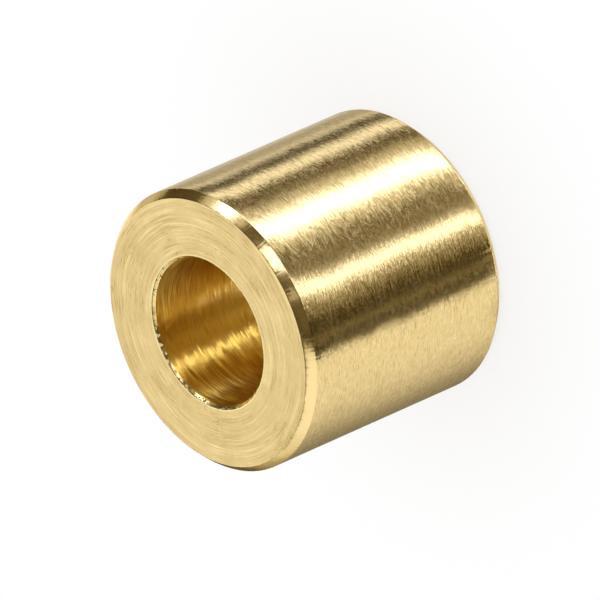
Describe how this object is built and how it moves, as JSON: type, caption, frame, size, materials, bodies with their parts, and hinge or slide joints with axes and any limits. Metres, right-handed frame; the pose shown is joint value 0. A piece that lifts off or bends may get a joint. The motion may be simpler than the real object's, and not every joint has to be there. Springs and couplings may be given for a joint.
{
  "type": "plain bushing",
  "caption": "Short thick-walled brass sleeve with a straight through bore, square end faces and small outer chamfers.",
  "frame": {"origin": "centre of the lower end face, on the axis of the bore", "axes": "+Z along the axis of the bushing, from the lower end face to the upper one; +X to the right and +Y away, seen from the front; the bushing is the same in every direction across its axis"},
  "size_m": [0.02, 0.02, 0.018],
  "materials": {
    "brass": "turned and lightly brushed round the axis, satin, bare metal"
  },
  "bodies": {
    "root": {"bushing": "brass"}
  },
  "joints": []
}
